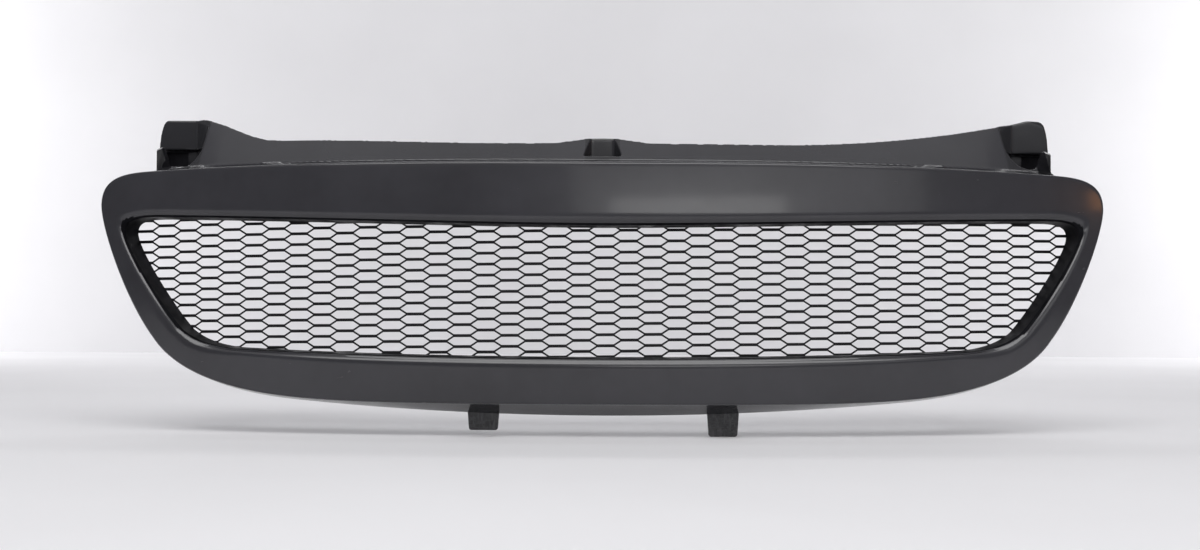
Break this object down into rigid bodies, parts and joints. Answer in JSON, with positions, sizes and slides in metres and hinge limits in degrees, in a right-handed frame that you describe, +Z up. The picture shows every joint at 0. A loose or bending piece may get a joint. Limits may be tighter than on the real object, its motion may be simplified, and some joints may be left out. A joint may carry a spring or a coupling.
{
  "type": "front grille",
  "caption": "Bowed car front grille: glass-fibre surround, hexagonal mesh clamped behind its opening, upper flange with screw cups and lower locating tabs.",
  "frame": {"origin": "under the middle of the part's width and depth, level with the foot of the longer locating tab", "axes": "+X to the right seen from the front, +Y towards the back, +Z up"},
  "size_m": [0.94, 0.114, 0.301],
  "materials": {
    "gelcoat": "satin black polyester gelcoat on glass-fibre laminate",
    "cup_gelcoat": "glossy black gelcoat",
    "raw_laminate": "rough hand-laid glass-fibre laminate",
    "adhesive": "cured grey bonding paste",
    "mesh_coating": "black powder coat on expanded aluminium",
    "strip_alloy": "mill finish",
    "rivet_alloy": "plain"
  },
  "bodies": {
    "root": {"surround_shell": "gelcoat", "upper_flange": "gelcoat", "flange_bond": "adhesive", "left_screw_cup": "cup_gelcoat", "centre_screw_cup": "cup_gelcoat", "right_screw_cup": "cup_gelcoat", "left_locating_tab": "raw_laminate", "right_locating_tab": "raw_laminate", "left_tab_bond": "adhesive", "right_tab_bond": "adhesive", "mesh_insert": "mesh_coating", "top_clamp_strip": "strip_alloy", "bottom_clamp_strip": "strip_alloy", "left_clamp_strip": "strip_alloy", "right_clamp_strip": "strip_alloy", "top_clamp_rivets": "rivet_alloy", "bottom_clamp_rivets": "rivet_alloy", "left_clamp_rivets": "rivet_alloy", "right_clamp_rivets": "rivet_alloy"}
  },
  "joints": []
}
